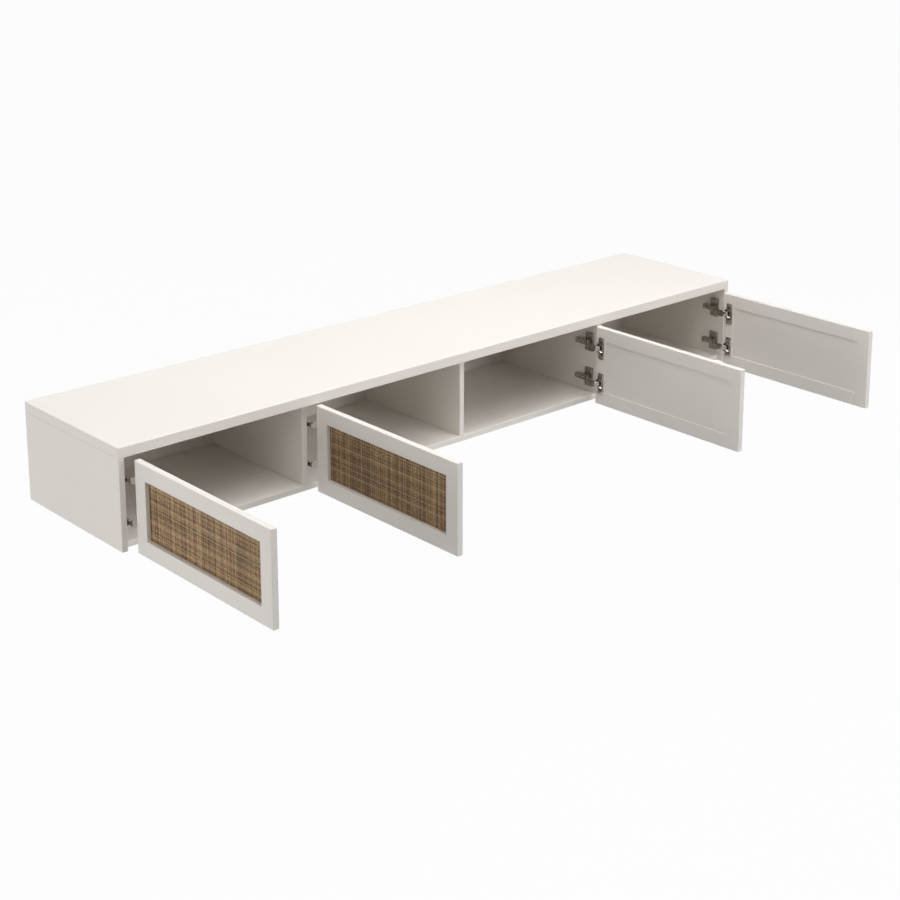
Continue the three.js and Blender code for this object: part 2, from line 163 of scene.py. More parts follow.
def makeRattan():
    # split rattan cane, skin side out, smoked brown: matte fibre with pale and dark strands side by side
    material, tree = newMaterial("smokedRattanCane")
    place = addNode(tree, "ShaderNodeTexCoord").outputs["Object"]
    tone = addNode(tree, "ShaderNodeAttribute", attribute_name="strandTone").outputs["Fac"]
    blotch = addNode(tree, "ShaderNodeTexNoise", {
        "Vector": place, "Scale": patternScale(cane["blotchSize"]), "Detail": 3.0, "Roughness": 0.6})
    fibre = addNode(tree, "ShaderNodeTexNoise", {
        "Vector": place, "Scale": patternScale(cane["fibreSize"]), "Detail": 2.0})
    stained = addNode(tree, "ShaderNodeMath", {
        0: blotch, 1: cane["blotchWeight"], 2: tone}, operation="MULTIPLY_ADD")
    worn = addNode(tree, "ShaderNodeMath", {
        0: fibre, 1: cane["fibreWeight"], 2: stained}, operation="MULTIPLY_ADD")
    shade = addNode(tree, "ShaderNodeMapRange", {
        "Value": worn, "From Min": cane["toneSpan"][0], "From Max": cane["toneSpan"][1]})
    ramp = addNode(tree, "ShaderNodeValToRGB", {"Fac": shade})
    # the darkest stop is painted shade, which the sheet behind the strands shows in the gaps
    ramp.color_ramp.elements[0].color = hexToLinear(cane["gap"])
    ramp.color_ramp.elements[1].color = hexToLinear(cane["light"])
    for share, colour in (cane["dark"], cane["middle"]):
        ramp.color_ramp.elements.new(share).color = hexToLinear(colour)
    relief = addNode(tree, "ShaderNodeBump", {
        "Height": fibre, "Strength": cane["fibreStrength"], "Distance": cane["fibreDepth"]})
    shader = addNode(tree, "ShaderNodeBsdfPrincipled", {
        "Base Color": ramp, "Roughness": cane["roughness"], "Normal": relief})
    addNode(tree, "ShaderNodeOutputMaterial", {"Surface": shader})
    return material


plating = {
    # name: (colour, roughness, size and depth of the sheet's grain)
    # barrel-plated nickel over stamped steel: grey with a warm cast, half gloss
    "nickelPlatedSteel": ("A59F96", (0.24, 0.30), 5 * mm, 0.0015 * mm),
    # tumbled before plating: near mirror. Its colour is set darker than bright nickel's own, a painted dark
    # reflection of shadowy surroundings, so it reads dark beside the white paint but for its highlights
    "brightNickelSteel": ("92908B", (0.07, 0.12), 6 * mm, 0.002 * mm),
    # zinc, blue passivated: cold grey and dull
    "zincPlatedSteel": ("A7A9AA", (0.38, 0.52), 6 * mm, 0.004 * mm),
    # chromed and finely brushed: catches the lamps from wherever they stand
    "brushedChromeSteel": ("E4E3E0", (0.22, 0.28), 4 * mm, 0.001 * mm),
}
grainStrength = 0.4  # of the relief on plated steel


def makePlatedSteel(name):
    # pressed steel under a thin plated coat: the sheet's grain still shows in its gloss
    material, tree = newMaterial(name)
    colour, roughness, grainSize, grainDepth = plating[name]
    place = addNode(tree, "ShaderNodeTexCoord").outputs["Object"]
    grain = addNode(tree, "ShaderNodeTexNoise", {
        "Vector": place, "Scale": patternScale(grainSize), "Detail": 2.0})
    gloss = addNode(tree, "ShaderNodeMapRange", {
        "Value": grain, "From Min": noiseSpan[0], "From Max": noiseSpan[1],
        "To Min": roughness[0], "To Max": roughness[1]})
    relief = addNode(tree, "ShaderNodeBump", {
        "Height": grain, "Strength": grainStrength, "Distance": grainDepth})
    shader = addNode(tree, "ShaderNodeBsdfPrincipled", {
        "Base Color": hexToLinear(colour), "Metallic": 1.0, "Roughness": gloss, "Normal": relief})
    addNode(tree, "ShaderNodeOutputMaterial", {"Surface": shader})
    return material


paintedMdf = makePaintedMdf()
rattanCane = makeRattan()
nickelSteel = makePlatedSteel("nickelPlatedSteel")
brightNickel = makePlatedSteel("brightNickelSteel")
zincSteel = makePlatedSteel("zincPlatedSteel")
brushedChrome = makePlatedSteel("brushedChromeSteel")  # for the springs' ends
print("materials made:", len(bpy.data.materials))


# Shapes

shape = {
    "weld": 0.005 * mm,       # corners of a solid closer than this are one
    "samePoint": 0.001 * mm,  # and points of a turned shape
    "flatAngle": 0.5,         # degrees within which triangles make one flat face
    "sharpAngle": 30,         # degrees past which an edge is softened
    "edgeSteps": 2,           # of a softened edge
    "cornerCut": 0.3,         # how far a rounding's middle lies inside its corner, as a share of its radius
}


def addPiece(name, mesh, material, body, replaced=None):
    mesh.name = name
    mesh.materials.clear()
    mesh.materials.append(material)
    piece = bpy.data.objects.new(name, mesh)
    scene.collection.objects.link(piece)
    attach(piece, body)
    if replaced:
        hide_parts(replaced)
    return piece


def placeMesh(mesh, matrix):
    mesh.transform(matrix)
    if matrix.determinant() < 0:
        mesh.flip_normals()  # a mirrored mesh is inside out
    return mesh


def meshFrom(work, name):
    bmesh.ops.recalc_face_normals(work, faces=work.faces)
    mesh = bpy.data.meshes.new(name)
    work.to_mesh(mesh)
    work.free()
    mesh.shade_smooth()
    return mesh


def circlePoints(radius, sides):
    angles = [2 * math.pi * i / sides for i in range(sides)]
    return [(radius * math.cos(a), radius * math.sin(a)) for a in angles]


def addRings(work, rings, closeEnds=True):
    # joins rings of points into a skin, ring by ring, and closes its two ends
    made = [[work.verts.new(point) for point in ring] for ring in rings]
    for first, second in zip(made, made[1:]):
        for i in range(len(first)):
            j = (i + 1) % len(first)
            work.faces.new((first[i], first[j], second[j], second[i]))
    if closeEnds:
        work.faces.new(made[0])
        work.faces.new(list(reversed(made[-1])))
    return made


def softenEdges(piece, width):
    bevel = piece.modifiers.new("softEdges", "BEVEL")
    bevel.width = width
    bevel.segments = shape["edgeSteps"]
    bevel.limit_method = "ANGLE"
    bevel.angle_limit = math.radians(shape["sharpAngle"])


def weldedCopy(name):
    # the node's loose triangles as whole flat faces
    work = bmesh.new()
    work.from_mesh(nodes[name].data)
    bmesh.ops.remove_doubles(work, verts=work.verts, dist=shape["weld"])
    flat = math.radians(shape["flatAngle"])
    bmesh.ops.dissolve_limit(work, angle_limit=flat, verts=work.verts, edges=work.edges)
    mesh = meshFrom(work, name)
    mesh.shade_flat()
    return mesh


# Boards and door frames: their arrises are sanded off before the paint, which leaves fine seams

board = {
    "arris": 0.8 * mm,
    "thinArris": 0.3 * mm,  # of the backings and back boards
}
for name, node in nodes.items():
    if "rail" in name:
        node.material_slots[0].material = zincSteel
    elif "hinge" not in name and "rattan" not in name:
        body = name[:len("door_1")] if name.startswith("door_") else "carcass"
        piece = addPiece(f"{name}_painted", weldedCopy(name), paintedMdf, body, name)
        softenEdges(piece, board["thinArris"] if "back" in name else board["arris"])
print("boards and rails finished")


# Woven panels

weave = {
    # the real cane is split finer, at about 2 mm; it is drawn about one and a half times as wide, so that
    # single strands show and a panel keeps to its limit of triangles
    "columnPitch": 3.4 * mm,
    "rowPitch": 2.5 * mm,
    "fill": 0.76,             # a strand's width as a share of the pitch
    "thickness": 0.5 * mm,
    "swing": 0.26 * mm,       # how far a strand goes over and under the others
    "widthSpread": 0.22,      # how much strands differ in width
    "wander": 0.12,           # how far a strand leaves its line, as a share of the pitch
    "unevenness": 0.28,       # how much of a strand's tone changes along it
    "sides": 6,               # of a strand's section
    "lining": 0.1 * mm,       # a dark sheet behind the strands: painted shade for the gaps between them
    "shadeSheetTone": -2.0,       # below that of any strand
    "doorSeeds": 100,         # between the seeds of two doors
    "weftSeeds": 50.0,        # between those of a door's uprights and its level strands
}


def addStrands(tree, along, across, alongSpan, acrossSpan, alongCount, acrossCount, phase, given):
    # straight strands side by side, bent over and under at each crossing
    pitchAlong = addNode(tree, "ShaderNodeMath", {0: alongSpan, 1: alongCount}, operation="DIVIDE")
    pitchAcross = addNode(tree, "ShaderNodeMath", {0: acrossSpan, 1: acrossCount}, operation="DIVIDE")
    length = addNode(tree, "ShaderNodeMath", {0: alongSpan, 1: pitchAlong}, operation="SUBTRACT")
    breadth = addNode(tree, "ShaderNodeMath", {0: acrossSpan, 1: pitchAcross}, operation="SUBTRACT")
    start = addNode(tree, "ShaderNodeMath", {0: length, 1: -0.5}, operation="MULTIPLY")
    end = addNode(tree, "ShaderNodeMath", {0: length, 1: 0.5}, operation="MULTIPLY")
    side = addNode(tree, "ShaderNodeMath", {0: breadth, 1: -0.5}, operation="MULTIPLY")
    line = addNode(tree, "GeometryNodeCurvePrimitiveLine", {
        "Start": addNode(tree, "ShaderNodeVectorMath", {0: along, "Scale": start}, operation="SCALE"),
        "End": addNode(tree, "ShaderNodeVectorMath", {0: along, "Scale": end}, operation="SCALE")})
    crossings = addNode(tree, "GeometryNodeResampleCurve", {"Curve": line, "Count": alongCount})
    corner = addNode(tree, "ShaderNodeVectorMath", {0: across, "Scale": side}, operation="SCALE")
    pitch = addNode(tree, "ShaderNodeVectorMath", {0: across, "Scale": pitchAcross}, operation="SCALE")
    places = addNode(tree, "GeometryNodeMeshLine", {
        "Count": acrossCount, "Start Location": corner, "Offset": pitch})
    copies = addNode(tree, "GeometryNodeInstanceOnPoints", {"Points": places, "Instance": crossings})
    strands = addNode(tree, "GeometryNodeRealizeInstances", {"Geometry": copies})

    strand = addNode(tree, "GeometryNodeCurveOfPoint").outputs["Curve Index"]
    crossing = addNode(tree, "GeometryNodeSplineParameter").outputs["Index"]
    everyPoint = addNode(tree, "GeometryNodeInputIndex")
    seeds = [addNode(tree, "ShaderNodeMath", {
        0: given["Seed"], 1: phase * weave["weftSeeds"] + step}, operation="ADD") for step in range(4)]

    # over and under; strands are made round and pressed flat, which the swing has to allow for
    width = addNode(tree, "ShaderNodeMath", {0: pitchAcross, 1: given["Fill"]}, operation="MULTIPLY")
    squeeze = addNode(tree, "ShaderNodeMath", {0: given["Thickness"], 1: width}, operation="DIVIDE")
    place = addNode(tree, "ShaderNodeMath", {0: strand, 1: crossing}, operation="ADD")
    shifted = addNode(tree, "ShaderNodeMath", {0: place, 1: phase}, operation="ADD")
    turn = addNode(tree, "ShaderNodeMath", {0: shifted, 1: 2.0}, operation="MODULO")
    overUnder = addNode(tree, "ShaderNodeMath", {0: turn, 1: -2.0, 2: 1.0}, operation="MULTIPLY_ADD")
    swing = addNode(tree, "ShaderNodeMath", {0: overUnder, 1: given["Swing"]}, operation="MULTIPLY")
    roundSwing = addNode(tree, "ShaderNodeMath", {0: swing, 1: squeeze}, operation="DIVIDE")

    # and a little off its line, to one side
    lean = addNode(tree, "FunctionNodeRandomValue", {
        "Min": -1.0, "Max": 1.0, "ID": strand, "Seed": seeds[0]}, data_type="FLOAT")
    wander = addNode(tree, "ShaderNodeMath", {0: lean, 1: given["Wander"]}, operation="MULTIPLY")
    drift = addNode(tree, "ShaderNodeMath", {0: wander, 1: pitchAcross}, operation="MULTIPLY")
    moved = addNode(tree, "ShaderNodeVectorMath", {
        0: addNode(tree, "ShaderNodeVectorMath", {0: across, "Scale": drift}, operation="SCALE"),
        1: addNode(tree, "ShaderNodeVectorMath", {0: (0, 1, 0), "Scale": roundSwing}, operation="SCALE"),
    }, operation="ADD")
    bent = addNode(tree, "GeometryNodeSetPosition", {"Geometry": strands, "Offset": moved})

    ownTone = addNode(tree, "FunctionNodeRandomValue", {
        "Min": 0.0, "Max": 1.0, "ID": strand, "Seed": seeds[1]}, data_type="FLOAT")
    spotTone = addNode(tree, "FunctionNodeRandomValue", {
        "Min": 0.0, "Max": 1.0, "ID": everyPoint, "Seed": seeds[2]}, data_type="FLOAT")
    tone = addNode(tree, "ShaderNodeMapRange", {
        "Value": given["Unevenness"], "To Min": ownTone, "To Max": spotTone})
    toned = addNode(tree, "GeometryNodeStoreNamedAttribute", {
        "Geometry": bent, "Name": "strandTone", "Value": tone}, data_type="FLOAT", domain="POINT")

    spread = addNode(tree, "FunctionNodeRandomValue", {
        "Min": -1.0, "Max": 1.0, "ID": strand, "Seed": seeds[3]}, data_type="FLOAT")
    share = addNode(tree, "ShaderNodeMath", {
        0: spread, 1: given["Width spread"], 2: 1.0}, operation="MULTIPLY_ADD")
    ownWidth = addNode(tree, "ShaderNodeMath", {0: share, 1: width}, operation="MULTIPLY")
    section = addNode(tree, "GeometryNodeCurvePrimitiveCircle", {
        "Resolution": weave["sides"], "Radius": 0.5})  # one across, to be scaled by the width
    skin = addNode(tree, "GeometryNodeCurveToMesh", {
        "Curve": toned, "Profile Curve": section, "Scale": ownWidth, "Fill Caps": True})
    pressed = addNode(tree, "ShaderNodeCombineXYZ", {"X": 1.0, "Y": squeeze, "Z": 1.0})
    return addNode(tree, "GeometryNodeTransform", {"Geometry": skin, "Scale": pressed})


def addShadeSheet(tree, given):
    # a thin dark sheet behind the strands: painted shade, which darkens the gaps between them
    size = addNode(tree, "ShaderNodeCombineXYZ", {
        "X": given["Length"], "Y": given["Lining"], "Z": given["Height"]})
    sheet = addNode(tree, "GeometryNodeMeshCube", {"Size": size})
    half = addNode(tree, "ShaderNodeMath", {0: given["Thickness"], 1: 0.5}, operation="MULTIPLY")
    behind = addNode(tree, "ShaderNodeMath", {0: half, 1: given["Swing"]}, operation="ADD")
    back = addNode(tree, "ShaderNodeCombineXYZ", {"Y": behind})
    moved = addNode(tree, "GeometryNodeTransform", {"Geometry": sheet, "Translation": back})
    return addNode(tree, "GeometryNodeStoreNamedAttribute", {
        "Geometry": moved, "Name": "strandTone", "Value": weave["shadeSheetTone"],
    }, data_type="FLOAT", domain="POINT")


def makeWeaveTree():
    tree = bpy.data.node_groups.new("plainWeave", "GeometryNodeTree")
    kinds = {
        "Length": "Float", "Height": "Float", "Columns": "Int", "Rows": "Int", "Fill": "Float",
        "Thickness": "Float", "Swing": "Float", "Width spread": "Float", "Wander": "Float",
        "Unevenness": "Float", "Lining": "Float", "Seed": "Int", "Material": "Material",
    }
    for name, kind in kinds.items():
        tree.interface.new_socket(name, in_out="INPUT", socket_type="NodeSocket" + kind)
    tree.interface.new_socket("Geometry", in_out="OUTPUT", socket_type="NodeSocketGeometry")
    given = addNode(tree, "NodeGroupInput").outputs
    length, height, columns, rows = (given[name] for name in ("Length", "Height", "Columns", "Rows"))
    sideways, up = (1, 0, 0), (0, 0, 1)
    warp = addStrands(tree, up, sideways, height, length, rows, columns, 0, given)
    weft = addStrands(tree, sideways, up, length, height, columns, rows, 1, given)
    strands = addNode(tree, "GeometryNodeJoinGeometry")
    for layer in (warp, weft):
        tree.links.new(layer.outputs["Geometry"], strands.inputs["Geometry"])
    smooth = addNode(tree, "GeometryNodeSetShadeSmooth", {"Geometry": strands})
    panel = addNode(tree, "GeometryNodeJoinGeometry")
    for layer in (smooth, addShadeSheet(tree, given)):
        tree.links.new(layer.outputs["Geometry"], panel.inputs["Geometry"])
    whole = addNode(tree, "GeometryNodeRealizeInstances", {"Geometry": panel})
    finished = addNode(tree, "GeometryNodeSetMaterial", {"Geometry": whole, "Material": given["Material"]})
    addNode(tree, "NodeGroupOutput", {"Geometry": finished})
    return tree


def runTree(tree, values, source=None):
    # the tree's result as a plain mesh; source is the mesh that it starts from
    holder = bpy.data.objects.new("holder", source or bpy.data.meshes.new("holder"))
    scene.collection.objects.link(holder)
    modifier = holder.modifiers.new("nodes", "NODES")
    modifier.node_group = tree
    identifiers = {s.name: s.identifier for s in tree.interface.items_tree if s.in_out == "INPUT"}
    for name, value in values.items():
        modifier[identifiers[name]] = value
    evaluated = holder.evaluated_get(bpy.context.evaluated_depsgraph_get())
    mesh = bpy.data.meshes.new_from_object(evaluated)
    holder.modifiers.clear()
    bpy.data.objects.remove(holder)
    return mesh


weaveTree = makeWeaveTree()
for door in doorNumbers:
    nodeName = f"door_{door}_rattan"
    low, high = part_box(nodeName)
    size = high - low
    mesh = runTree(weaveTree, {
        "Length": size.y, "Height": size.z, "Columns": round(size.y / weave["columnPitch"]),
        "Rows": round(size.z / weave["rowPitch"]), "Fill": weave["fill"], "Thickness": weave["thickness"],
        "Swing": weave["swing"], "Width spread": weave["widthSpread"], "Wander": weave["wander"],
        "Unevenness": weave["unevenness"], "Lining": weave["lining"],
        "Seed": door * weave["doorSeeds"], "Material": rattanCane})
    turn = Matrix.Rotation(-handOf(door) * math.pi / 2, 4, "Z")
    placeMesh(mesh, Matrix.Translation((low + high) / 2) @ turn)
    addPiece(f"door_{door}_woven_panel", mesh, rattanCane, f"door_{door}", nodeName)
print("woven panels made")


# Hinges

hinge = {
    "edgeSoftness": 0.45 * mm,
    "pivot": (13 * mm, 21 * mm),     # off the board, behind its front edge
    "armFront": 18 * mm,             # behind the board's front edge
    "linkThickness": 4 * mm,
    "tongueWidth": 9.4 * mm,
    "bowWidth": 16.8 * mm,
    "tipWidth": 11.6 * mm,           # inside the cup
    "widening": (0.10, 0.07),        # where it starts and how long it takes, as shares of the link
    "narrowing": (0.62, 0.16),
    "crown": (36.5 * mm, -17 * mm),
    "tip": (22.5 * mm, -37.5 * mm),
    "risingPull": 0.55,              # how far the curve holds its way, as a share of the climb to the crown
    "fallingPull": 0.85,             # of the way down from it
    "tipPull": 0.7,                  # and of the way in to the tip
    "eyeRadius": 3.2 * mm,
    "eyeRounding": 0.4 * mm,
    "eyeSides": 24,
    "sectionRadius": 1.3 * mm,
    "sectionSteps": 3,               # round each of the section's corners
    "bendSteps": 14,
    "rimRounding": 0.5 * mm,
    "cupRadius": 13.2 * mm,
    "cupRimRadius": 14.7 * mm,
    "cupWall": 1.2 * mm,
    "cupDepth": 10.8 * mm,
    "rimLow": 0.3 * mm,
    "rimHigh": 1.3 * mm,
    "rimUnder": 0.6,                 # the rounding under the rim, as a share of the one above
    "cupEdge": (1.2 * mm, 0.3 * mm),    # the bottom's outer rounding: its radius, and its middle's way in
    "cupHollow": (2.4 * mm, 0.7 * mm),  # and its inner one
    "cupCentre": 0.4 * mm,           # a tiny hole on the axis
    "cupSides": 40,
    "flange": (20 * mm, 60 * mm),
    "flangeAside": 4.5 * mm,         # its middle, from the cup's towards the door's middle
    "flangeCorner": 3 * mm,
    "flangeEdge": 0.2 * mm,
    "flangeStep": 2 * mm,            # between the points of its outline
    "cornerSteps": 4,
    "pinRadius": 1.6 * mm,
    "pinRounding": 0.2 * mm,
    "pinBite": 0.3 * mm,             # how far its ends go into the cup's wall
    "pinSides": 16,
    "pinPlace": (3.8 * mm, -4.65 * mm),
    "padPlace": (1.6 * mm, -1.2 * mm, -9.7 * mm),  # middle of the pair, in the cup
    "padFacing": (0.46, 0.46, 0.76),               # towards the door's middle, out of its back, and up
    "padSize": (5.6 * mm, 5.0 * mm, 1.2 * mm),
    "padGap": 0.6 * mm,
    "padTaper": (0.9, 0.85),         # where along its half a pad starts to narrow, and to what share
}


def bezier(points, share):
    a, b, c, d = (Vector(p) for p in points)
    rest = 1 - share
    return a * rest ** 3 + 3 * b * rest ** 2 * share + 3 * c * rest * share ** 2 + d * share ** 3


def linkLine():
    # the link's middle line: pivot, crown of the bow, tip inside the cup
    pivot, crown, tip = hinge["pivot"], hinge["crown"], hinge["tip"]
    reach, drop, swing = pivot[1] - crown[1], crown[1] - tip[1], crown[0] - tip[0]
    rising, falling = hinge["risingPull"] * reach, hinge["fallingPull"] * drop
    inward = hinge["tipPull"] * swing
    first = (pivot, (pivot[0], pivot[1] - rising), (crown[0], crown[1] + rising), crown)
    second = (crown, (crown[0], crown[1] - falling), (tip[0] + inward, tip[1]), tip)
    shares = [i / hinge["bendSteps"] for i in range(hinge["bendSteps"] + 1)]
    return [bezier(first, s) for s in shares] + [bezier(second, s) for s in shares[1:]]


def roundedSection(width, thickness, radius):
    # a rounded rectangle, thickness across and width up
    steps = hinge["sectionSteps"]
    points = []
    for x, y, start in ((1, -1, -90), (1, 1, 0), (-1, 1, 90), (-1, -1, 180)):
        for i in range(steps + 1):
            angle = math.radians(start + 90 * i / steps)
            points.append((x * (thickness / 2 - radius) + radius * math.cos(angle),
                           y * (width / 2 - radius) + radius * math.sin(angle)))
    return points


def addDisc(work, radius, rounding, low, high, place, sides):
    # a short round bar along z with rounded ends, for pins and eyes
    cut = shape["cornerCut"] * rounding
    levels = [(radius - rounding, low), (radius - cut, low + cut), (radius, low + rounding),
              (radius, high - rounding), (radius - cut, high - cut), (radius - rounding, high)]
    rings = [[(place[0] + x, place[1] + y, z) for x, y in circlePoints(r, sides)] for r, z in levels]
    addRings(work, rings)


def makeLink():
    # a bright gooseneck, narrow in the arm and the cup, and wide round the door's edge
    work = bmesh.new()
    line = linkLine()
    rings = []
    for i, middle in enumerate(line):
        ahead = (line[min(i + 1, len(line) - 1)] - line[max(i - 1, 0)]).normalized()
        beside = Vector((-ahead.y, ahead.x))
        share = i / (len(line) - 1)
        widening, narrowing = (min(max((share - start) / length, 0), 1)
                               for start, length in (hinge["widening"], hinge["narrowing"]))
        width = hinge["tongueWidth"] + (hinge["bowWidth"] - hinge["tongueWidth"]) * widening
        width += (hinge["tipWidth"] - hinge["bowWidth"]) * narrowing
        section = roundedSection(width, hinge["linkThickness"], hinge["sectionRadius"])
        rings.append([(middle.x + beside.x * a, middle.y + beside.y * a, b) for a, b in section])
    addRings(work, rings)
    half = hinge["tongueWidth"] / 2
    addDisc(work, hinge["eyeRadius"], hinge["eyeRounding"], -half, half, hinge["pivot"], hinge["eyeSides"])
    return meshFrom(work, "link")


def latheRings(profile, sides):
    # rings round the y axis
    return [[(x, y, z) for x, z in circlePoints(r, sides)] for r, y in profile]


def makeCup():
    # a drawn cup with a rolled rim and the flange that its screws go through; one pin crosses it inside
    work = bmesh.new()
    outer, wall, rim = hinge["cupRadius"], hinge["cupWall"], hinge["cupRimRadius"]
    low, high, soft, floor = hinge["rimLow"], hinge["rimHigh"], hinge["rimRounding"], -hinge["cupDepth"]
    centre, (edge, edgeCut), (hollow, hollowCut) = hinge["cupCentre"], hinge["cupEdge"], hinge["cupHollow"]
    inner, inside, cut = outer - wall, floor + wall, shape["cornerCut"] * soft
    profile = [
        (centre, floor), (outer - edge, floor), (outer - edgeCut, floor + edgeCut), (outer, floor + edge),
        (outer, low), (rim - soft, low), (rim, low + soft * hinge["rimUnder"]), (rim - cut, high - cut),
        (rim - soft, high), (inner + soft, high), (inner + cut, high - cut), (inner, high - soft),
        (inner, inside + hollow), (inner - hollowCut, inside + hollowCut), (inner - hollow, inside),
        (centre, inside),
    ]
    rings = latheRings(profile, hinge["cupSides"])
    addRings(work, rings + [rings[0]], closeEnds=False)
    bmesh.ops.remove_doubles(work, verts=work.verts, dist=shape["samePoint"])
    addFlange(work, inner, low, high)
    place = hinge["pinPlace"]
    reach = math.sqrt((inner + hinge["pinBite"]) ** 2 - place[0] ** 2)
    addDisc(work, hinge["pinRadius"], hinge["pinRounding"], -reach, reach, place, hinge["pinSides"])
    return meshFrom(work, "cup")


def makePads():
    # the two bright ends of the closing spring, which lean out of the cup's lower wall
    work = bmesh.new()
    facing = Vector(hinge["padFacing"]).normalized()
    along = (Vector((1, 0, 0)) - facing * facing.x).normalized()
    down = facing.cross(along)
    length, height, thickness = hinge["padSize"]
    section = roundedSection(height, thickness, thickness / 3)
    start, narrow = hinge["padTaper"]
    for side in (-1, 1):
        middle = Vector(hinge["padPlace"]) + along * side * (length + hinge["padGap"]) / 2
        rings = [[middle + along * end * length / 2 + facing * a * size + down * b * size
                  for a, b in section]
                 for end, size in ((-1, narrow), (-start, 1), (start, 1), (1, narrow))]
        addRings(work, rings)
    return meshFrom(work, "pads")


def addFlange(work, bore, low, high):
    # a plate with rounded corners round the cup's mouth, just below the top of the rim
    width, height = hinge["flange"]
    corner, aside, edge = hinge["flangeCorner"], hinge["flangeAside"], hinge["flangeEdge"]
    top = high - edge / 2
    hidden = bore + (hinge["cupRimRadius"] - bore) / 2  # where the rim is wider than the plate
    centres = [(aside + x * (width / 2 - corner), y * (height / 2 - corner)) for x, y in
               ((1, 1), (-1, 1), (-1, -1), (1, -1))]
    outline = []
    for i, (x, y) in enumerate(centres):
        for step in range(hinge["cornerSteps"] + 1):
            angle = math.radians(90 * i + 90 * step / hinge["cornerSteps"])
            outline.append(Vector((x + corner * math.cos(angle), y + corner * math.sin(angle))))
    points = []
    for first, second in zip(outline, outline[1:] + outline[:1]):
        count = max(1, round((second - first).length / hinge["flangeStep"]))
        points += [first.lerp(second, i / count) for i in range(count)]
    outer = [p if p.length > hidden else p.normalized() * hidden for p in points]
    inner = [p.normalized() * (bore + edge) for p in points]
    smaller = [p - p.normalized() * edge for p in outer]
    rings = [[(p.x, y, p.y) for p in ring] for ring, y in
             ((inner, low), (inner, top), (smaller, top), (outer, top - edge), (outer, low))]
    made = addRings(work, rings, closeEnds=False)
    for i in range(len(points)):
        j = (i + 1) % len(points)
        work.faces.new((made[-1][i], made[-1][j], made[0][j], made[0][i]))


def hingeMatrix(door, row):
    # from the hinge's own frame: x off the board, y behind the board's front edge, z from its middle
    hand = handOf(door)
    armLow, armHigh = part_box(f"door_{door}_{row}_hinge_arm")
    plateLow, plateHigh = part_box(f"door_{door}_{row}_hinge_plate")
    face = plateLow.x - hinge["rimLow"] if hand == 1 else plateHigh.x + hinge["rimLow"]
    place = Matrix.Translation((face, armLow.y - hinge["armFront"], (armLow.z + armHigh.z) / 2))
    return place @ Matrix.Diagonal((hand, 1, 1, 1))


def cupMatrix(door, row):
    # from the cup's own frame: x towards the door's middle, y out of the door's back
    hand = handOf(door)
    low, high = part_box(f"door_{door}_{row}_hinge_cup")
    back = high.x - hinge["rimHigh"] if hand == 1 else low.x + hinge["rimHigh"]
    place = Matrix.Translation((back, (low.y + high.y) / 2, (low.z + high.z) / 2))
    return place @ Matrix(((0, hand, 0, 0), (-1, 0, 0, 0), (0, 0, 1, 0), (0, 0, 0, 1)))


linkMesh = makeLink()
cupMesh = makeCup()
padsMesh = makePads()
for door in doorNumbers:
    for row in hingeRows:
        name = f"door_{door}_{row}_hinge"
        for part in ("plate", "arm"):
            piece = addPiece(f"{name}_{part}_pressed", weldedCopy(f"{name}_{part}"), nickelSteel,
                             "carcass", f"{name}_{part}")
            softenEdges(piece, hinge["edgeSoftness"])
        addPiece(f"{name}_link_polished", placeMesh(linkMesh.copy(), hingeMatrix(door, row)), brightNickel,
                 f"links_{door}", f"{name}_link")
        addPiece(f"{name}_cup_drawn", placeMesh(cupMesh.copy(), cupMatrix(door, row)), nickelSteel,
                 f"door_{door}", f"{name}_cup")
        addPiece(f"{name}_spring_ends", placeMesh(padsMesh.copy(), cupMatrix(door, row)), brushedChrome,
                 f"door_{door}")
for mesh in (linkMesh, cupMesh, padsMesh):
    bpy.data.meshes.remove(mesh)
print("hinges made")


# Screws and rivets

screw = {
    "sides": 16,
    "headHeight": 0.30,    # as a share of the head's radius, like the next four
    "headSink": 0.1,       # how far it reaches into what it holds
    "recessReach": 0.55,
    "recessWidth": 0.14,
    "recessDepth": 0.22,
    "recessTaper": 0.75,   # the recess's foot, as a share of its mouth
    "dome": ((1, 0.4), (0.9, 0.8), (0.7, 1)),  # radii, and their heights as shares of the head's
    "sharpAngle": 50,      # degrees past which an edge of the head stays crisp
    "plate": 3.1 * mm,     # head radii
    "flange": 2.7 * mm,
    "clamp": 3.4 * mm,
    "adjust": 3.8 * mm,
    "rail": 4.2 * mm,
    "rivet": 2.1 * mm,
}
screwPlaces = {
    "plateUp": 18 * mm,        # from the hinge's middle
    "plateTop": 5.5 * mm,      # off the board
    "plateBack": (8 * mm, 20 * mm),  # behind the plate's front
    "clamp": (20.1 * mm, 33 * mm),
    "adjust": (19.4 * mm, 53 * mm),
    "rivets": ((13 * mm, 21 * mm), (10.5 * mm, 47 * mm)),
    "rivetUp": 6.5 * mm,       # on the arm's two sides
    "flangeUp": 23.5 * mm,
    "railCount": 10,
    "railIn": 2 * mm,          # behind the hanging rail's front
    "railDown": 13 * mm,       # below its top
}


def makeHead(recessed):
    # a low domed head of radius 1 that looks along z, with a cross recess for a screw
    work = bmesh.new()
    sides, height = screw["sides"], screw["headHeight"]
    levels = [(1, -screw["headSink"])] + [(radius, height * share) for radius, share in screw["dome"]]
    rings = [[(x, y, z) for x, y in circlePoints(radius, sides)] for radius, z in levels]
    if recessed:
        reach, width, depth = screw["recessReach"], screw["recessWidth"], screw["recessDepth"]

        def cross(scale, z):
            quarter = [(reach, 0), (reach, width), (width, width), (width, reach)]
            points = []
            for turn in range(4):
                angle = turn * math.pi / 2
                points += [(scale * (x * math.cos(angle) - y * math.sin(angle)),
                            scale * (x * math.sin(angle) + y * math.cos(angle)), z) for x, y in quarter]
            return points

        rings += [cross(1, height), cross(screw["recessTaper"], height - depth)]
    addRings(work, rings)
    mesh = meshFrom(work, "head")
    mesh.set_sharp_from_angle(angle=math.radians(screw["sharpAngle"]))
    return mesh


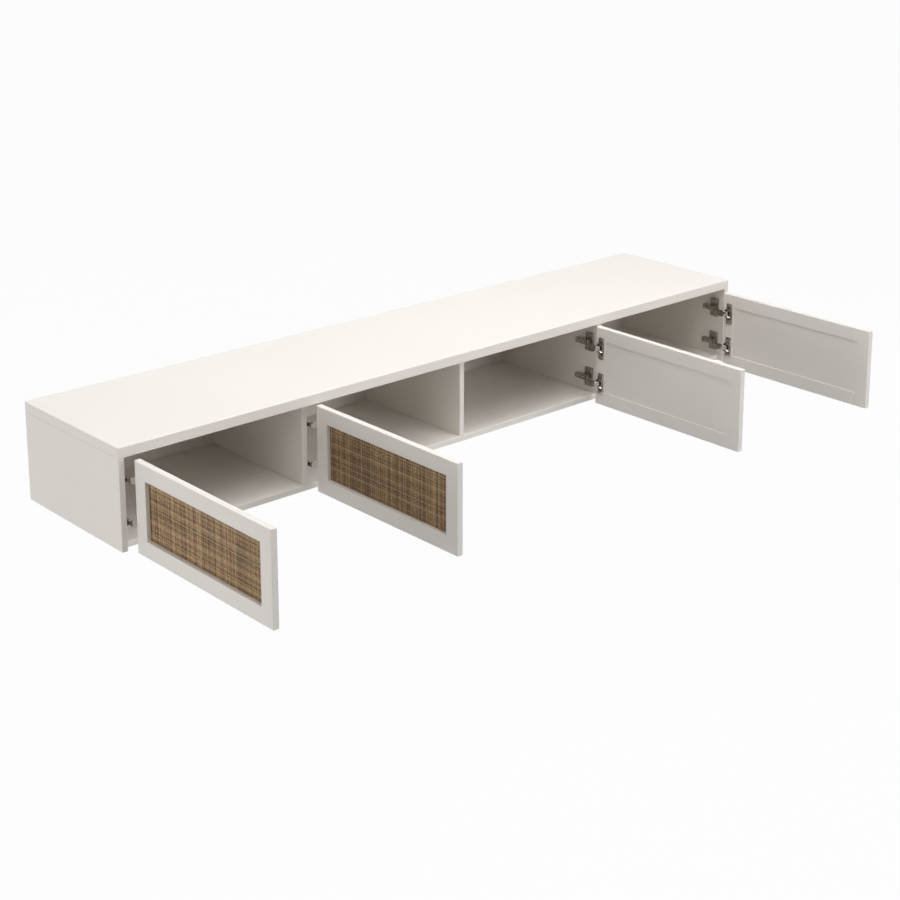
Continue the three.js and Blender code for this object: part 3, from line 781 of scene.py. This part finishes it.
def makeFastenerTree():
    # a head on each point, turned to face away from the surface
    tree = bpy.data.node_groups.new("fastenerHeads", "GeometryNodeTree")
    kinds = {"Points": "Geometry", "Head": "Object", "Seed": "Int", "Material": "Material"}
    for name, kind in kinds.items():
        tree.interface.new_socket(name, in_out="INPUT", socket_type="NodeSocket" + kind)
    tree.interface.new_socket("Geometry", in_out="OUTPUT", socket_type="NodeSocketGeometry")
    given = addNode(tree, "NodeGroupInput").outputs
    head = addNode(tree, "GeometryNodeObjectInfo", {"Object": given["Head"]}).outputs["Geometry"]
    facing = addNode(tree, "GeometryNodeInputNamedAttribute", {"Name": "facing"}, data_type="FLOAT_VECTOR")
    radius = addNode(tree, "GeometryNodeInputNamedAttribute", {"Name": "radius"}, data_type="FLOAT")
    everyPoint = addNode(tree, "GeometryNodeInputIndex")
    angle = addNode(tree, "FunctionNodeRandomValue", {
        "Min": 0.0, "Max": math.pi, "ID": everyPoint, "Seed": given["Seed"]}, data_type="FLOAT")
    turned = addNode(tree, "ShaderNodeCombineXYZ", {"Z": angle})
    aimed = addNode(tree, "FunctionNodeAlignRotationToVector", {"Vector": facing}, axis="Z")
    rotated = addNode(tree, "FunctionNodeRotateRotation", {
        "Rotation": aimed, "Rotate By": turned}, rotation_space="LOCAL")
    heads = addNode(tree, "GeometryNodeInstanceOnPoints", {
        "Points": given["Points"], "Instance": head, "Rotation": rotated, "Scale": radius})
    whole = addNode(tree, "GeometryNodeRealizeInstances", {"Geometry": heads})
    finished = addNode(tree, "GeometryNodeSetMaterial", {"Geometry": whole, "Material": given["Material"]})
    addNode(tree, "NodeGroupOutput", {"Geometry": finished})
    return tree


def pointsMesh(places):
    # one vertex for each (point, facing, radius)
    mesh = bpy.data.meshes.new("places")
    mesh.from_pydata([p for p, f, r in places], [], [])
    mesh.attributes.new("facing", "FLOAT_VECTOR", "POINT")
    mesh.attributes.new("radius", "FLOAT", "POINT")
    for i, (p, f, r) in enumerate(places):
        mesh.attributes["facing"].data[i].vector = f
        mesh.attributes["radius"].data[i].value = r
    return mesh


def carcassScrews():
    places = []
    for door in doorNumbers:
        for row in hingeRows:
            matrix = hingeMatrix(door, row)
            facing = matrix.to_3x3() @ Vector((1, 0, 0))
            low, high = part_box(f"door_{door}_{row}_hinge_plate")
            top, above = screwPlaces["plateTop"], screwPlaces["plateUp"]
            front = low.y - matrix.translation.y
            for up in (-1, 1):
                for back in screwPlaces["plateBack"]:
                    point = matrix @ Vector((top, front + back, up * above))
                    places.append((point, facing, screw["plate"]))
            for kind in ("clamp", "adjust"):
                x, y = screwPlaces[kind]
                places.append((matrix @ Vector((x, y, 0)), facing, screw[kind]))
    return places


def rivets():
    places = []
    for door in doorNumbers:
        for row in hingeRows:
            matrix = hingeMatrix(door, row)
            for x, y in screwPlaces["rivets"]:
                for up in (-1, 1):
                    point = matrix @ Vector((x, y, up * screwPlaces["rivetUp"]))
                    places.append((point, Vector((0, 0, up)), screw["rivet"]))
    return places


def flangeScrews(door):
    places = []
    for row in hingeRows:
        matrix = cupMatrix(door, row)
        facing = matrix.to_3x3() @ Vector((0, 1, 0))
        for up in (-1, 1):
            point = matrix @ Vector((hinge["flangeAside"], hinge["rimHigh"], up * screwPlaces["flangeUp"]))
            places.append((point, facing, screw["flange"]))
    return places


def railScrews():
    low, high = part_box("hanging_rail")
    count = screwPlaces["railCount"]
    pitch = (high.x - low.x) / count
    y, z = low.y + screwPlaces["railIn"], high.z - screwPlaces["railDown"]
    points = [Vector((low.x + (i + 0.5) * pitch, y, z)) for i in range(count)]
    return [(point, Vector((0, 1, 0)), screw["rail"]) for point in points]


fastenerTree = makeFastenerTree()
screwHead = bpy.data.objects.new("screwHead", makeHead(True))
rivetHead = bpy.data.objects.new("rivetHead", makeHead(False))
for template in (screwHead, rivetHead):
    scene.collection.objects.link(template)
fastenerSets = [
    ("hinge_screws", carcassScrews(), screwHead, nickelSteel, "nickel_plated_steel", "carcass"),
    ("hinge_rivets", rivets(), rivetHead, brightNickel, "polished_nickel", "carcass"),
    ("rail_screws", railScrews(), screwHead, zincSteel, "zinc_plated_steel", "carcass"),
]
for door in doorNumbers:
    body = f"door_{door}"
    fastenerSets.append((f"{body}_cup_screws", flangeScrews(door), screwHead, nickelSteel,
                         "nickel_plated_steel", body))
for seed, (name, places, template, material, slot, body) in enumerate(fastenerSets):
    mesh = runTree(fastenerTree, {"Head": template, "Seed": seed, "Material": material}, pointsMesh(places))
    addPiece(name, mesh, material, body)
for template in (screwHead, rivetHead):
    bpy.data.objects.remove(template)
print("screws and rivets made:", sum(len(s[1]) for s in fastenerSets))


# Studio

studio = {
    "floorDrop": 0.75,      # below the console, which hangs on a wall
    "floorSize": 60.0,
    "floorColour": "BFBFBF",
    "floorGlow": 0.97,      # how much of the floor is plain white to the camera; the rest keeps the shadow
    "roundLight": 0.005,    # the world's light from all round
    "skyLight": 0.01,       # and what it adds from above
}
lamps = {
    # name: (place, what it points at, size, power in watts)
    "overhead": ((0.2, -0.5, 3.5), (0.0, -0.3, 0.0), 2.5, 82.0),
    "aboveInFront": ((0.0, -1.7, 3.3), (0.0, -0.3, 0.0), 2.5, 42.0),
    "inFront": ((1.5, -4.2, 0.9), (0.0, -0.3, 0.0), 2.0, 57.0),
    "leftInFront": ((-2.2, -3.0, 3.2), (0.0, -0.3, 0.0), 2.0, 25.0),
    "fromLeft": ((-4.0, -0.5, 1.2), (0.0, -0.3, 0.0), 2.5, 24.0),
    "lowOnTheLeft": ((-4.0, -0.3, -0.2), (0.0, -0.3, 0.0), 2.0, 32.0),
    "fromRight": ((4.0, -0.6, 1.0), (0.0, -0.3, 0.0), 2.5, 34.0),
    "behind": ((-2.2, 4.0, 1.2), (0.0, 0.0, 0.0), 2.5, 45.0),
}


def seenDirectly(tree):
    # 1 for rays from the camera and for what metal or glass shows
    path = addNode(tree, "ShaderNodeLightPath").outputs
    seen = addNode(tree, "ShaderNodeMath", {
        0: path["Is Camera Ray"], 1: path["Is Glossy Ray"]}, operation="MAXIMUM")
    return addNode(tree, "ShaderNodeMath", {0: seen, 1: path["Is Transmission Ray"]}, operation="MAXIMUM")


def makeFloor():
    half = studio["floorSize"] / 2
    z = cadBounds[0][2] - studio["floorDrop"]
    corners = [(-half, -half, z), (half, -half, z), (half, half, z), (-half, half, z)]
    mesh = bpy.data.meshes.new("floor")
    mesh.from_pydata(corners, [], [(0, 1, 2, 3)])
    floor = bpy.data.objects.new("floor", mesh)
    scene.collection.objects.link(floor)
    material, tree = newMaterial("paleStudioFloor")
    matte = addNode(tree, "ShaderNodeBsdfDiffuse", {"Color": hexToLinear(studio["floorColour"])})
    white = addNode(tree, "ShaderNodeEmission", {"Color": (1, 1, 1, 1), "Strength": 1.0})
    share = addNode(tree, "ShaderNodeMath", {
        0: seenDirectly(tree), 1: studio["floorGlow"]}, operation="MULTIPLY")
    mixed = addNode(tree, "ShaderNodeMixShader", {"Fac": share, 1: matte, 2: white})
    addNode(tree, "ShaderNodeOutputMaterial", {"Surface": mixed})
    mesh.materials.append(material)


def makeWorld():
    world = bpy.data.worlds.new("studio")
    scene.world = world
    world.use_nodes = True
    tree = world.node_tree
    tree.nodes.clear()
    place = addNode(tree, "ShaderNodeTexCoord").outputs["Generated"]
    height = addNode(tree, "ShaderNodeSeparateXYZ", {"Vector": place}).outputs["Z"]
    above = addNode(tree, "ShaderNodeMath", {0: height, 1: 0.0}, operation="MAXIMUM")
    light = addNode(tree, "ShaderNodeMath", {
        0: above, 1: studio["skyLight"], 2: studio["roundLight"]}, operation="MULTIPLY_ADD")
    strength = addNode(tree, "ShaderNodeMapRange", {
        "Value": seenDirectly(tree), "To Min": light, "To Max": 1.0})
    background = addNode(tree, "ShaderNodeBackground", {"Color": (1, 1, 1, 1), "Strength": strength})
    addNode(tree, "ShaderNodeOutputWorld", {"Surface": background})


def makeLamp(name, place, target, size, power):
    lamp = bpy.data.lights.new(name, "AREA")
    lamp.shape = "SQUARE"
    lamp.size = size
    lamp.energy = power
    light = bpy.data.objects.new(name, lamp)
    light.location = place
    light.rotation_euler = (Vector(target) - Vector(place)).to_track_quat("-Z", "Y").to_euler()
    scene.collection.objects.link(light)


makeFloor()
makeWorld()
for name, (place, target, size, power) in lamps.items():
    makeLamp(name, place, target, size, power)
print("studio made")


# Camera

camera = {
    "place": (-2.8693, -3.5649, 1.4703),
    "heading": -41.63,   # degrees from straight at the wall
    "down": 13.89,
    "lens": 72.26,       # millimetres, on a sensor 36 mm wide
    "sensor": 36,
    "shiftUp": -0.25,    # of the frame; the photograph's own shift is larger
    "farthest": 100,     # metres that it sees
}
cameraData = bpy.data.cameras.new("camera")
cameraData.sensor_width = camera["sensor"]
cameraData.lens = camera["lens"]
cameraData.shift_y = camera["shiftUp"]
cameraData.clip_end = camera["farthest"]
cameraObject = bpy.data.objects.new("camera", cameraData)
cameraObject.location = camera["place"]
cameraObject.rotation_euler = (math.radians(90 - camera["down"]), 0, math.radians(camera["heading"]))
scene.collection.objects.link(cameraObject)
scene.camera = cameraObject
scene.view_settings.view_transform = "Standard"
print("camera placed")
